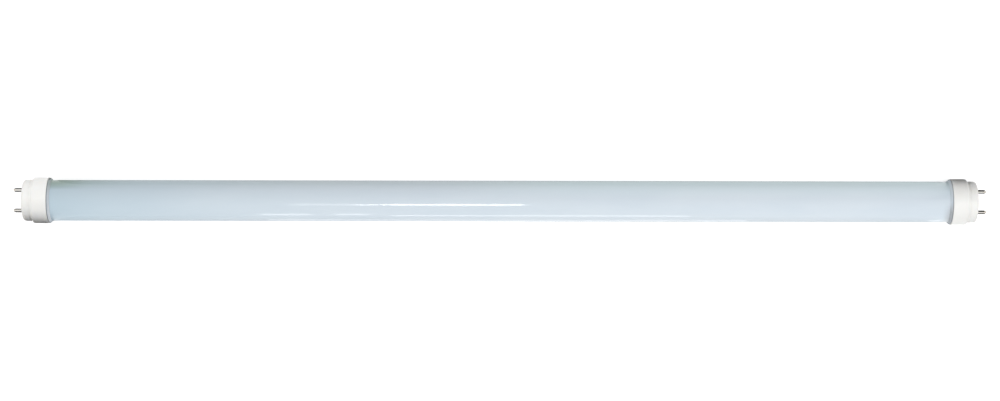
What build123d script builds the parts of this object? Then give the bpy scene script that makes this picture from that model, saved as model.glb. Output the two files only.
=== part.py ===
from build123d import *
import os
from math import sqrt

os.makedirs("parts", exist_ok=True)

# A two-foot lamp lying on its collars, with the lit side up.
# The origin is the middle of the tube's axis: X runs along the tube, Y along each pair of pins, Z up.
face_length = 589.8  # from one flat cap face to the other

# Glass tube
tube_diameter = 25.4
tube_wall = 1.0
tube_end_round = 0.3
most_round = 0.4  # largest round on an edge, as a share of the wall's thickness
tube_fit = 0.15  # radial gap in the cap's socket
tube_end_gap = 0.2  # between the tube's end and the ledge that stops it

# End cap, measured inwards from its flat face
face_wall = 1.6
nose_length = 6.0
nose_proud = 0.1  # how far the nose stands out beyond the glass
nose_edge_round = 1.8
groove_width = 1.0
groove_depth = 0.35
groove_to_shoulder = 0.5
ledge_thickness = 1.3
ledge_cover = 0.3  # how far the ledge reaches in past the glass
collar_length = 9.75
collar_wall = 1.35
shoulder_round = 1.2
most_shoulder = 0.9  # largest shoulder round, as a share of its step
collar_edge_round = 0.25
inner_round = 0.5

# Silicone seal ring at each collar's mouth
lip_thickness = 0.6
lip_length = 2.5
seam_width = 0.5
ring_width = 1.45
ring_flat = 0.15
ring_step = 0.2  # how far the ring stays below the collar
ring_edge = 0.15
seal_fit = 0.02

# Contact pins
pin_spacing = 12.7
pin_diameter = 2.35
pin_length = 6.6
pin_tip_diameter = 1.1
pin_taper = 1.1
pin_tip_round = 0.3
root_diameter = 3.2  # of the thicker shank inside the cap's wall
pin_fit = 0.02
boss_diameter = 5.6
boss_length = 1.4
flange_diameter = 4.4
flange_thickness = 0.6
tail_length = 2.0
tail_diameter = 2.1
wire_bore_depth = 2.2

# Wires
wire_diameter = 1.2
wire_fit = 0.05

# Board with the light sources, bonded to the bottom of the bore
board_end_gap = 10.0
board_width = 12.0
board_thickness = 1.0
board_corner_gap = 0.1
bond_width = 10.0
contact_gap = 0.02  # between pieces that touch

# Light sources
chip_pitch = 10.6
chip_length = 3.5
chip_width = 2.8
chip_height = 0.7
chip_rim = 0.35
chip_window_depth = 0.1
chip_end_margin = 5.0

# Insulating sleeve of the driver, lying on the board's left end
sleeve_end_gap = 4.5
sleeve_wall = 0.4
sleeve_corner = 3.5
sleeve_side_gap = 0.6  # from its lower corners to the glass
sleeve_top_gap = 4.7

# Driver board and its parts
driver_inset = 1.0  # from each end of the sleeve
driver_thickness = 1.0
driver_under_gap = 2.9
driver_edge_gap = 0.05
leg_diameter = 0.6
leg_fit = 0.1
leg_tail = 1.2
leg_inset = 1.2  # from each end of a part
fuse_diameter = 2.6
fuse_length = 7.0
varistor_diameter = 7.0
varistor_thickness = 3.2
varistor_round = 0.8
film_length = 9.0
film_width = 3.6
film_height = 7.5
film_round = 0.45
smoothing_diameter = 6.3
smoothing_length = 12.0
can_round = 0.6
most_can_round = 0.2  # as a share of the can's diameter
choke_diameter = 6.0
choke_height = 7.5
choke_waist = 0.5
choke_flange = 1.0
transformer_length = 9.0
transformer_width = 10.0
transformer_height = 8.0
core_thickness = 2.0
core_margin = 1.2
output_diameter = 5.0
output_height = 7.5
rectifier_length = 4.7
rectifier_width = 3.9
rectifier_height = 2.4
controller_length = 4.9
controller_width = 3.9
controller_height = 1.6
diode_length = 4.3
diode_width = 2.6
diode_height = 2.2
resistor_length = 3.2
resistor_width = 1.6
resistor_height = 0.55
resistor_pitch = 2.6
part_gap = 1.0  # between neighbouring parts on the driver board
wire_pad = 2.0  # how far a wire's end lies on its board
wire_edge_gap = 2.0  # from a supply wire's middle to the board's side
wire_rise = 3.0  # how far a wire runs straight before it bends
strip_lead = 12.5  # from the driver's sleeve to the first light source

# Radii
tube_radius = tube_diameter / 2
bore_radius = tube_radius - tube_wall
socket_radius = tube_radius + tube_fit
collar_radius = socket_radius + collar_wall
nose_radius = tube_radius + nose_proud
cavity_radius = bore_radius - ledge_cover
lip_radius = tube_radius + seal_fit + lip_thickness
mouth_radius = lip_radius + seal_fit
ring_radius = collar_radius - ring_step
pin_radius = pin_diameter / 2
wire_radius = wire_diameter / 2

# Distances inwards from a cap's face
groove_end = nose_length - groove_to_shoulder
groove_start = groove_end - groove_width
ledge_depth = nose_length + ledge_thickness
tube_start = ledge_depth + tube_end_gap
cap_length = nose_length + collar_length
mouth_start = cap_length - lip_length
ring_start = cap_length + seam_width
ring_end = ring_start + ring_width
pin_seat = face_wall + boss_length + contact_gap
pin_end = pin_seat + flange_thickness + tail_length
wire_start = pin_end - wire_bore_depth + wire_fit

# Heights and lengths inside the tube
tube_length = face_length - 2 * tube_start
board_length = tube_length - 2 * board_end_gap
board_low = -sqrt((bore_radius - board_corner_gap) ** 2 - (board_width / 2) ** 2)
board_top = board_low + board_thickness
sleeve_low = board_top + contact_gap
sleeve_high = bore_radius - sleeve_top_gap
sleeve_start = tube_start + sleeve_end_gap
driver_low = sleeve_low + sleeve_wall + driver_under_gap
driver_top = driver_low + driver_thickness
driver_start = sleeve_start + driver_inset

# The middle of each lower corner of the sleeve stands this far from the tube's axis
corner_reach = bore_radius - sleeve_side_gap - sleeve_corner
sleeve_width = 2 * (sleeve_corner + sqrt(corner_reach**2 - (sleeve_low + sleeve_corner) ** 2))
driver_width = sleeve_width - 2 * sleeve_wall - 2 * driver_edge_gap

# Places on the driver board: X from its left end, and Y of the rows on both sides of its middle line
row_y = driver_width / 4
fuse_x = wire_pad + part_gap + fuse_length / 2
varistor_x = wire_pad + part_gap + varistor_diameter / 2
film_x = varistor_x + varistor_diameter / 2 + part_gap + film_width / 2
can_x = film_x + film_width / 2 + part_gap + smoothing_length / 2
choke_x = can_x - smoothing_length / 2 + choke_diameter / 2
transformer_x = can_x + smoothing_length / 2 + part_gap + transformer_length / 2
output_x = transformer_x + transformer_length / 2 + part_gap + output_diameter / 2
driver_length = output_x + output_diameter / 2 + part_gap + wire_pad
sleeve_length = driver_length + 2 * driver_inset


def inward_x(side, depth):
    """X of a point that lies depth inwards from the left (-1) or right (1) face."""
    return side * (face_length / 2 - depth)


def face_plane(side):
    """Plane on a cap's face that looks into the lamp, with its y axis up."""
    return Plane(origin=(inward_x(side, 0), 0, 0), x_dir=(0, -side, 0), z_dir=(-side, 0, 0))


def section_plane(side, y=0):
    """Upright plane along the tube, with x inwards from the face and y up."""
    return Plane(origin=(inward_x(side, 0), y, 0), x_dir=(-side, 0, 0), z_dir=(0, side, 0))


def inward_axis(side, y=0):
    """Axis along the tube, from the face inwards."""
    return Axis((inward_x(side, 0), y, 0), (-side, 0, 0))


def points(corners):
    """Places of an outline's corners, given as (x, y, corner radius)."""
    return [(x, y) for x, y, _ in corners]


def radii(corners):
    """Radii of an outline's corners, given as (x, y, corner radius)."""
    return [radius for _, _, radius in corners]


def finish(body, name):
    """Label a finished piece and write it."""
    body.part.label = name
    export_step(body.part, f"parts/{name}.step")


def glass_tube():
    """Straight glass tube with fire-polished ends."""
    with BuildPart() as tube:
        with BuildSketch(Plane.YZ.offset(-tube_length / 2)):
            Circle(tube_radius)
            Circle(bore_radius, mode=Mode.SUBTRACT)
        extrude(amount=tube_length)
        fillet(tube.edges().filter_by(GeomType.CIRCLE), min(tube_end_round, most_round * tube_wall))
    finish(tube, "glass_tube")


def end_cap(side, name):
    """Moulded cap: a nose with a groove, a wider collar, a ledge that stops the tube and two pin bosses."""
    shoulder = min(shoulder_round, most_shoulder * (collar_radius - nose_radius))
    corners = [
        (0, 0, 0),
        (0, nose_radius, nose_edge_round),
        (groove_start, nose_radius, 0),
        (groove_start, nose_radius - groove_depth, 0),
        (groove_end, nose_radius - groove_depth, 0),
        (groove_end, nose_radius, 0),
        (nose_length, nose_radius, 0),
        (nose_length, collar_radius, shoulder),
        (cap_length, collar_radius, collar_edge_round),
        (cap_length, mouth_radius, 0),
        (mouth_start, mouth_radius, 0),
        (mouth_start, socket_radius, 0),
        (ledge_depth, socket_radius, 0),
        (ledge_depth, cavity_radius, 0),
        (face_wall, cavity_radius, inner_round),
        (face_wall, 0, 0),
    ]
    pins = [(-pin_spacing / 2, 0), (pin_spacing / 2, 0)]
    with BuildPart() as cap:
        with BuildSketch(section_plane(side)):
            with BuildLine():
                FilletPolyline(points(corners), radius=radii(corners), close=True)
            make_face()
        revolve(axis=inward_axis(side))
        with BuildSketch(face_plane(side).offset(face_wall)):
            with Locations(pins):
                Circle(boss_diameter / 2)
        extrude(amount=boss_length)
        with BuildSketch(face_plane(side)):
            with Locations(pins):
                Circle(root_diameter / 2 + pin_fit)
        extrude(amount=face_wall + boss_length, mode=Mode.SUBTRACT)
    finish(cap, name)


def seal_ring(side, name):
    """Translucent ring with a lip in the collar's mouth and a sloped rim that runs down to the glass."""
    inside = tube_radius + seal_fit
    corners = [
        (mouth_start + contact_gap, inside, 0),
        (mouth_start + contact_gap, lip_radius, 0),
        (ring_start, lip_radius, 0),
        (ring_start, ring_radius, 0),
        (ring_start + ring_flat, ring_radius, 0),
        (ring_end, tube_radius + ring_edge, 0),
        (ring_end, inside, 0),
    ]
    with BuildPart() as ring:
        with BuildSketch(section_plane(side)):
            with BuildLine():
                FilletPolyline(points(corners), radius=radii(corners), close=True)
            make_face()
        revolve(axis=inward_axis(side))
    finish(ring, name)


def contact_pin(side, y, name):
    """Turned pin: tapered tip, thicker root in the cap's wall, flange behind the boss, bore for the wire."""
    bore = wire_radius + wire_fit
    corners = [
        (-pin_length, 0, 0),
        (-pin_length, pin_tip_diameter / 2, pin_tip_round),
        (-pin_length + pin_taper, pin_radius, pin_tip_round),
        (0, pin_radius, 0),
        (0, root_diameter / 2, 0),
        (pin_seat, root_diameter / 2, 0),
        (pin_seat, flange_diameter / 2, 0),
        (pin_seat + flange_thickness, flange_diameter / 2, 0),
        (pin_seat + flange_thickness, tail_diameter / 2, 0),
        (pin_end, tail_diameter / 2, 0),
        (pin_end, bore, 0),
        (pin_end - wire_bore_depth, bore, 0),
        (pin_end - wire_bore_depth, 0, 0),
    ]
    with BuildPart() as pin:
        with BuildSketch(section_plane(side, y)):
            with BuildLine():
                FilletPolyline(points(corners), radius=radii(corners), close=True)
            make_face()
        revolve(axis=inward_axis(side, y))
    finish(pin, name)


def led_board():
    """Flat strip whose lower corners meet the glass."""
    with BuildPart() as board:
        with BuildSketch(Plane.YZ.offset(-board_length / 2)):
            with Locations((0, board_low)):
                Rectangle(board_width, board_thickness, align=(Align.CENTER, Align.MIN))
        extrude(amount=board_length)
    finish(board, "led_board")


def board_bond():
    """Bed of adhesive that fills the round bottom of the bore under the strip."""
    with BuildPart() as bond:
        with BuildSketch(Plane.YZ.offset(-board_length / 2)):
            Circle(bore_radius - contact_gap)
            with Locations((0, board_low - contact_gap)):
                Rectangle(bond_width, bore_radius, align=(Align.CENTER, Align.MAX), mode=Mode.INTERSECT)
        extrude(amount=board_length)
    finish(bond, "board_bond")


def led_chips():
    """Row of light sources, each a small white package with a sunk window."""
    first = inward_x(-1, sleeve_start + sleeve_length + strip_lead)
    last = board_length / 2 - chip_end_margin
    count = int((last - first) / chip_pitch) + 1
    places = [(last - index * chip_pitch, 0) for index in range(count)]
    low = board_top + contact_gap
    with BuildPart() as chips:
        with BuildSketch(Plane.XY.offset(low)):
            with Locations(places):
                Rectangle(chip_length, chip_width)
        extrude(amount=chip_height)
        with BuildSketch(Plane.XY.offset(low + chip_height)):
            with Locations(places):
                Rectangle(chip_length - 2 * chip_rim, chip_width - 2 * chip_rim)
        extrude(amount=-chip_window_depth, mode=Mode.SUBTRACT)
    finish(chips, "led_chips")


def driver_sleeve():
    """Thin flattened sleeve that insulates the driver and lies on the strip's left end."""
    height = sleeve_high - sleeve_low
    with BuildPart() as sleeve:
        with BuildSketch(Plane.YZ.offset(inward_x(-1, sleeve_start))):
            with Locations((0, sleeve_low + height / 2)):
                RectangleRounded(sleeve_width, height, sleeve_corner)
                RectangleRounded(
                    sleeve_width - 2 * sleeve_wall,
                    height - 2 * sleeve_wall,
                    sleeve_corner - sleeve_wall,
                    mode=Mode.SUBTRACT,
                )
        extrude(amount=sleeve_length)
    finish(sleeve, "driver_sleeve")


def pair_x(x, y, length):
    """Two legs in a row along the board."""
    reach = length / 2 - leg_inset
    return [(x - reach, y), (x + reach, y)]


def pair_y(x, y, length):
    """Two legs in a row across the board."""
    reach = length / 2 - leg_inset
    return [(x, y - reach), (x, y + reach)]


leg_places = {
    "fuse_resistor": pair_x(fuse_x, row_y, fuse_length),
    "varistor": pair_x(varistor_x, -row_y, varistor_diameter),
    "film_capacitor": pair_y(film_x, 0, film_length),
    "smoothing_capacitor": pair_x(can_x, -row_y, smoothing_length),
    "filter_choke": pair_y(choke_x, row_y, choke_diameter),
    "transformer": [
        place
        for y in (leg_inset - transformer_width / 2, transformer_width / 2 - leg_inset)
        for place in pair_x(transformer_x, y, transformer_length)
    ],
    "output_capacitor": pair_y(output_x, row_y, output_diameter),
}


def driver_plane(height):
    """Level plane whose origin is over the middle of the driver board's left end."""
    return Plane(origin=(inward_x(-1, driver_start), 0, height))


def legs(name, reach=leg_diameter / 2):
    """Wire legs of one part, from a little way up inside it through the driver board."""
    plane = driver_plane(driver_top + contact_gap + reach)
    depth = reach + contact_gap + driver_thickness + leg_tail
    with Locations([plane * Location(place) for place in leg_places[name]]):
        Cylinder(leg_diameter / 2, depth, align=(Align.CENTER, Align.CENTER, Align.MAX))


def driver_board():
    """Board of the driver, with a hole for each leg."""
    holes = [place for places in leg_places.values() for place in places]
    with BuildPart() as board:
        with BuildSketch(driver_plane(driver_low)):
            Rectangle(driver_length, driver_width, align=(Align.MIN, Align.CENTER))
            with Locations(holes):
                Circle(leg_diameter / 2 + leg_fit, mode=Mode.SUBTRACT)
        extrude(amount=driver_thickness)
    finish(board, "driver_board")


def lying_can(x, y, diameter, length, name):
    """Round part that lies along the driver board."""
    middle = driver_top + contact_gap + diameter / 2
    start = inward_x(-1, driver_start) + x - length / 2
    plane = Plane(origin=(start, y, middle), x_dir=(0, 1, 0), z_dir=(1, 0, 0))
    with BuildPart() as can:
        with BuildSketch(plane):
            Circle(diameter / 2)
        extrude(amount=length)
        fillet(can.edges().filter_by(GeomType.CIRCLE), min(can_round, most_can_round * diameter))
        legs(name)
    finish(can, name)


def varistor():
    """Round disc that stands on edge."""
    middle = driver_top + contact_gap + varistor_diameter / 2
    plane = Plane(
        origin=(inward_x(-1, driver_start) + varistor_x, -row_y - varistor_thickness / 2, middle),
        x_dir=(-1, 0, 0),
        z_dir=(0, 1, 0),
    )
    with BuildPart() as disc:
        with BuildSketch(plane):
            Circle(varistor_diameter / 2)
        extrude(amount=varistor_thickness)
        fillet(disc.edges().filter_by(GeomType.CIRCLE), varistor_round)
        legs("varistor", varistor_diameter / 2)
    finish(disc, "varistor")


def film_capacitor():
    """Upright box across the board."""
    with BuildPart() as box:
        with BuildSketch(driver_plane(driver_top + contact_gap)):
            with Locations((film_x, 0)):
                Rectangle(film_width, film_length)
        extrude(amount=film_height)
        fillet(box.edges().filter_by(Axis.Z), film_round)
        legs("film_capacitor")
    finish(box, "film_capacitor")


def filter_choke():
    """Upright bobbin with a narrower winding between two flanges."""
    low = driver_top + contact_gap
    with BuildPart() as choke:
        with BuildSketch(driver_plane(low)):
            with Locations((choke_x, row_y)):
                Circle(choke_diameter / 2 - choke_waist)
        extrude(amount=choke_height)
        for level in (low, low + choke_height - choke_flange):
            with BuildSketch(driver_plane(level)):
                with Locations((choke_x, row_y)):
                    Circle(choke_diameter / 2)
            extrude(amount=choke_flange)
        legs("filter_choke")
    finish(choke, "filter_choke")


def transformer():
    """Wound block with a ferrite core around its middle."""
    low = driver_top + contact_gap
    with BuildPart() as block:
        with BuildSketch(driver_plane(low)):
            with Locations((transformer_x, 0)):
                Rectangle(transformer_length, transformer_width - 2 * core_margin)
        extrude(amount=transformer_height - core_margin)
        with BuildSketch(driver_plane(low + core_margin)):
            with Locations((transformer_x, 0)):
                Rectangle(transformer_length - 2 * core_thickness, transformer_width)
        extrude(amount=transformer_height - core_margin)
        legs("transformer")
    finish(block, "transformer")


def output_capacitor():
    """Upright round can."""
    with BuildPart() as can:
        with BuildSketch(driver_plane(driver_top + contact_gap)):
            with Locations((output_x, row_y)):
                Circle(output_diameter / 2)
        extrude(amount=output_height)
        fillet(can.edges().filter_by(GeomType.CIRCLE), min(can_round, most_can_round * output_diameter))
        legs("output_capacitor")
    finish(can, "output_capacitor")


def flat_parts(places, length, width, height, name):
    """Flat parts soldered to the underside of the driver board."""
    with BuildPart() as flat:
        with BuildSketch(driver_plane(driver_low - contact_gap)):
            with Locations(places):
                Rectangle(length, width)
        extrude(amount=-height)
    finish(flat, name)


def wire(route, name):
    """Insulated wire along straight runs joined by arcs."""
    with BuildPart() as lead:
        with BuildLine() as path:
            FilletPolyline(route, radius=[wire_diameter] * (len(route) - 2))
        with BuildSketch(Plane(origin=path.line @ 0, z_dir=path.line % 0)):
            Circle(wire_radius)
        sweep()
    finish(lead, name)


glass_tube()
led_board()
board_bond()
led_chips()
driver_sleeve()
driver_board()

for side, end in ((-1, "left"), (1, "right")):
    end_cap(side, f"{end}_end_cap")
    seal_ring(side, f"{end}_seal_ring")
    contact_pin(side, -pin_spacing / 2, f"{end}_front_pin")
    contact_pin(side, pin_spacing / 2, f"{end}_back_pin")

lying_can(fuse_x, row_y, fuse_diameter, fuse_length, "fuse_resistor")
lying_can(can_x, -row_y, smoothing_diameter, smoothing_length, "smoothing_capacitor")
varistor()
film_capacitor()
filter_choke()
transformer()
output_capacitor()

flat_parts([(fuse_x, 0)], rectifier_length, rectifier_width, rectifier_height, "bridge_rectifier")
flat_parts([(can_x, 0)], controller_length, controller_width, controller_height, "controller_chip")
flat_parts([(transformer_x, 0)], diode_length, diode_width, diode_height, "output_diode")
flat_parts(
    [(output_x, -resistor_pitch), (output_x, -2 * resistor_pitch)],
    resistor_length,
    resistor_width,
    resistor_height,
    "sense_resistors",
)

# Supply wires run from the left pins to the near end of the driver board
pad_z = driver_top + contact_gap + wire_radius
for y_side, name in ((-1, "front_supply_wire"), (1, "back_supply_wire")):
    pin_y = y_side * pin_spacing / 2
    pad_y = y_side * (driver_width / 2 - wire_edge_gap)
    supply_route = [
        (inward_x(-1, wire_start), pin_y, 0),
        (inward_x(-1, pin_end + wire_rise / 2), pin_y, 0),
        (inward_x(-1, driver_start - wire_rise / 2), pad_y, pad_z),
        (inward_x(-1, driver_start + wire_pad), pad_y, pad_z),
    ]
    wire(supply_route, name)

# Output wires run from the far end of the driver board down to the strip
driver_end = driver_start + driver_length
strip_z = board_top + contact_gap + wire_radius
for y_side, name in ((-1, "front_output_wire"), (1, "back_output_wire")):
    out_y = y_side * board_width / 4
    output_route = [
        (inward_x(-1, driver_end - wire_pad), out_y, pad_z),
        (inward_x(-1, driver_end + wire_rise), out_y, pad_z),
        (inward_x(-1, driver_end + wire_rise + wire_pad), out_y, strip_z),
        (inward_x(-1, driver_end + wire_rise + 2 * wire_pad), out_y, strip_z),
    ]
    wire(output_route, name)

# A short wire joins the two right pins
link_route = [
    (inward_x(1, wire_start), -pin_spacing / 2, 0),
    (inward_x(1, pin_end + wire_rise), -pin_spacing / 2, 0),
    (inward_x(1, pin_end + wire_rise), pin_spacing / 2, 0),
    (inward_x(1, wire_start), pin_spacing / 2, 0),
]
wire(link_route, "right_pin_link")
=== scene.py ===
# %% [markdown]
# A frosted LED lamp tube, two feet long, lies on its two white caps and is seen from straight above.
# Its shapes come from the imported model, in metres. What this lesson adds is what the solids can't
# carry: the glass skin, the moulded plastic, the plated pins, the solder on the boards, and the
# light.

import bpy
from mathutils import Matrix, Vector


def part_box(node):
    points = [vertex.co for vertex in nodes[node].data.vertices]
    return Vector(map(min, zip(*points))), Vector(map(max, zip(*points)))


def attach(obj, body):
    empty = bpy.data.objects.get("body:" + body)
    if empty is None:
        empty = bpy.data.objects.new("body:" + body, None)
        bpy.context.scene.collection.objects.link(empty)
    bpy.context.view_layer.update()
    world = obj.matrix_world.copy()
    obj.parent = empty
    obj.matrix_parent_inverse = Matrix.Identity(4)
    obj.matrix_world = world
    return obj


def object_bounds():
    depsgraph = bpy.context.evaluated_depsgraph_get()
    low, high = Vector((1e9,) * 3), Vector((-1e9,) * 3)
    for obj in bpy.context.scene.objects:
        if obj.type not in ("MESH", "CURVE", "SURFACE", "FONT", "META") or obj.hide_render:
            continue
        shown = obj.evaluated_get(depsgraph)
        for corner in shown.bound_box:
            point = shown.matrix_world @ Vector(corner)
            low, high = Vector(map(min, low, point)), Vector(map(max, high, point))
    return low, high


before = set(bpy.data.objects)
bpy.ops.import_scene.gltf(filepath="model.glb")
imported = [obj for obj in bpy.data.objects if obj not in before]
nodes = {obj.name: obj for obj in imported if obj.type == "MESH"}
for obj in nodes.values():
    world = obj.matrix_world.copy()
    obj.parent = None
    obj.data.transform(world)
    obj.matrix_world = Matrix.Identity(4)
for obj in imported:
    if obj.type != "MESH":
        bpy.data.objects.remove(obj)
cad_low, cad_high = [list(corner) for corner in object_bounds()]
print("box of the solids", cad_low, cad_high)

# %% [markdown]
# Every piece arrives as a mesh with its own name. The list shows how finely each one is divided.

# %% Tools of this lesson
import math
import bpy
from mathutils import Vector

bpy.ops.object.select_all(action="DESELECT")
for name in sorted(nodes):
    print(name, len(nodes[name].data.polygons), "faces", len(nodes[name].material_slots), "slots")

# %% [markdown]
# The camera comes first, because every later choice is checked through it. In the photograph the
# camera stands over the middle of the lamp, about a metre and a half away: the circles of the cap
# mouths bulge outwards by four pixels, and only that distance gives this bulge. The frame is 1000 by
# 401 pixels and one pixel at the lamp's axis is 0.62 mm, so the lens follows from the distance. The
# lamp's right end lies almost two pixels lower than its left end, which is a very small turn of the
# camera.

# %% Camera
camera_height = 1.5
camera_x = 0.0001
camera_y = 0.0004
camera_roll = 0.00194
picture_width = 1000  # in pixels
pixel = 0.0006202  # metres at the lamp's axis
sensor = 36
view = bpy.data.cameras.new("photo_camera")
view.sensor_width = sensor
view.lens = sensor * camera_height / (picture_width * pixel)
camera = bpy.data.objects.new("photo_camera", view)
bpy.context.scene.collection.objects.link(camera)
camera.location = (camera_x, camera_y, camera_height)
camera.rotation_euler = (0, 0, camera_roll)
bpy.context.scene.camera = camera
bpy.context.scene.view_settings.view_transform = "Standard"
print("lens", round(view.lens, 2), "mm")

# %% [markdown]
# A material here is built from a few nodes, always in the same order: where a point lies on the
# object, a pattern at that place, a colour from the pattern, a roughness from the pattern, and a
# bump. Object coordinates are in metres, so a noise of scale 400 has grains of about 2.5 mm. The
# helpers below only save typing.

# %% Node helpers
def blank(name):
    """A new material with one Principled shader, and the tools to add nodes to it."""
    material = bpy.data.materials.new(name)
    material.use_nodes = True
    return material, material.node_tree, material.node_tree.nodes["Principled BSDF"]


def place(tree, stretch=(1, 1, 1)):
    """Object coordinates, each axis multiplied by its stretch."""
    where = tree.nodes.new("ShaderNodeTexCoord")
    mapping = tree.nodes.new("ShaderNodeMapping")
    mapping.inputs["Scale"].default_value = stretch
    tree.links.new(where.outputs["Object"], mapping.inputs["Vector"])
    return mapping.outputs["Vector"]


def noise(tree, vector, scale, detail=3, rough=0.55):
    """A cloudy pattern from 0 to 1."""
    texture = tree.nodes.new("ShaderNodeTexNoise")
    texture.inputs["Scale"].default_value = scale
    texture.inputs["Detail"].default_value = detail
    texture.inputs["Roughness"].default_value = rough
    tree.links.new(vector, texture.inputs["Vector"])
    return texture.outputs["Fac"]


def spread(tree, value, low, high, to_low=0, to_high=1, smooth=False):
    """Stretches a number from one range to another, and clamps it."""
    ramp = tree.nodes.new("ShaderNodeMapRange")
    ramp.interpolation_type = "SMOOTHSTEP" if smooth else "LINEAR"
    ramp.inputs["From Min"].default_value = low
    ramp.inputs["From Max"].default_value = high
    ramp.inputs["To Min"].default_value = to_low
    ramp.inputs["To Max"].default_value = to_high
    tree.links.new(value, ramp.inputs["Value"])
    return ramp.outputs["Result"]


def mix(tree, factor, first, second):
    """Blends two colours, each a colour or a socket."""
    blend = tree.nodes.new("ShaderNodeMix")
    blend.data_type = "RGBA"
    for value, socket in ((first, blend.inputs["A"]), (second, blend.inputs["B"])):
        if isinstance(value, tuple):
            socket.default_value = (*value, 1)
        else:
            tree.links.new(value, socket)
    tree.links.new(factor, blend.inputs["Factor"])
    return blend.outputs["Result"]


def work(tree, operation, first, second=0.0):
    """One step of arithmetic on two numbers or sockets."""
    node = tree.nodes.new("ShaderNodeMath")
    node.operation = operation
    for value, socket in ((first, node.inputs[0]), (second, node.inputs[1])):
        if isinstance(value, (int, float)):
            socket.default_value = value
        else:
            tree.links.new(value, socket)
    return node.outputs["Value"]


def axis(tree, letter):
    """One coordinate of a point, in metres."""
    split = tree.nodes.new("ShaderNodeSeparateXYZ")
    tree.links.new(place(tree), split.inputs["Vector"])
    return split.outputs[letter]


def bump(tree, height, distance, strength=1.0, under=None):
    """A surface relief, distance metres deep."""
    relief = tree.nodes.new("ShaderNodeBump")
    relief.inputs["Strength"].default_value = strength
    relief.inputs["Distance"].default_value = distance
    tree.links.new(height, relief.inputs["Height"])
    if under is not None:
        tree.links.new(under, relief.inputs["Normal"])
    return relief.outputs["Normal"]


def dress(material, *names):
    """Gives a material to CAD nodes that keep their shape."""
    for name in names:
        for slot in nodes[name].material_slots:
            slot.material = material
    print(material.name, "on", ", ".join(names))


# %% [markdown]
# The glass. The real tube is clear glass with a white diffusing coat on its inner side, so it has two
# skins: a milky body colour, and over it a hard, glossy reflection. Real glass with a second white tube
# inside would give the same picture far more slowly and with grain. The shader's coat layer is this case
# exactly: a soft body under a clear, sharp layer. The coat inside is never even. Painted shade makes the
# body darker towards the left end, and darker and greener along the back near both ends, darkest by the
# left ring. Painted light makes it paler and bluer along the back of the right half, and a painted
# shadow of the right collar lies on the glass beside that collar.

# %% Frosted glass
milk = (0.585, 0.665, 0.735)
thick_milk = (0.635, 0.705, 0.765)
# Painted shade, darker towards the left end.
left_end_shade = (0.40, 0.545, 0.63)
# Painted light, paler along the back of the right half.
back_light_colour = (0.675, 0.80, 0.85)
# Painted shade along the back edge near the ends, darkest by the left ring.
back_edge_shade = (0.25, 0.37, 0.31)
ring_corner_shade = (0.20, 0.30, 0.24)
coat_grain = (0.80, 0.82, 0.84)
# Painted shadow of the right collar on the glass.
collar_shadow_on_glass = (0.36, 0.38, 0.40)


def collar_shadow(tree, shade_weight, full_shade_weight):
    """A painted shadow of the right collar, grey and patchy, on the right ring and the glass beside it,
    along the front.
    """
    along = spread(tree, axis(tree, "X"), 0.2725, 0.278, smooth=True)
    front = spread(tree, axis(tree, "Y"), 0.001, -0.009, smooth=True)
    patchy = spread(tree, noise(tree, place(tree), 420, 3), 0.25, 0.65, shade_weight, full_shade_weight)
    return work(tree, "MULTIPLY", work(tree, "MULTIPLY", along, front), patchy)


def paint_left_shade(tree, body, x):
    """Painted shade: the tube darker towards the left."""
    left = spread(tree, x, -0.285, -0.05, 0.81, 0)
    return mix(tree, work(tree, "POWER", left, 2), body, left_end_shade)


def paint_back_light(tree, body, x, y):
    """Painted light: the right half paler and bluer along its back."""
    right = spread(tree, x, -0.04, 0.04)
    back = spread(tree, y, 0.002, 0.0115, 0, 0.85)
    return mix(tree, work(tree, "MULTIPLY", right, back), body, back_light_colour)


def paint_end_shade(tree, body, x, y, cloud):
    """Painted shade: darker and greener along the back near both ends, darkest by the left ring."""
    left_end = spread(tree, x, -0.282, -0.22, 1, 0.25, smooth=True)
    right_end = spread(tree, x, 0.2, 0.282, 0, 0.18, smooth=True)
    back = spread(tree, y, 0.006, 0.0125, smooth=True)
    shade_weight = work(tree, "MULTIPLY", work(tree, "MAXIMUM", left_end, right_end), back)
    shade_weight = work(tree, "MULTIPLY", shade_weight, spread(tree, cloud, 0.2, 0.8, 0.5, 0.75))
    body = mix(tree, shade_weight, body, back_edge_shade)
    at_ring = spread(tree, x, -0.279, -0.25, 0.85, 0, smooth=True)
    edge = spread(tree, y, 0.0065, 0.0118)
    return mix(tree, work(tree, "MULTIPLY", at_ring, edge), body, ring_corner_shade)


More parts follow.
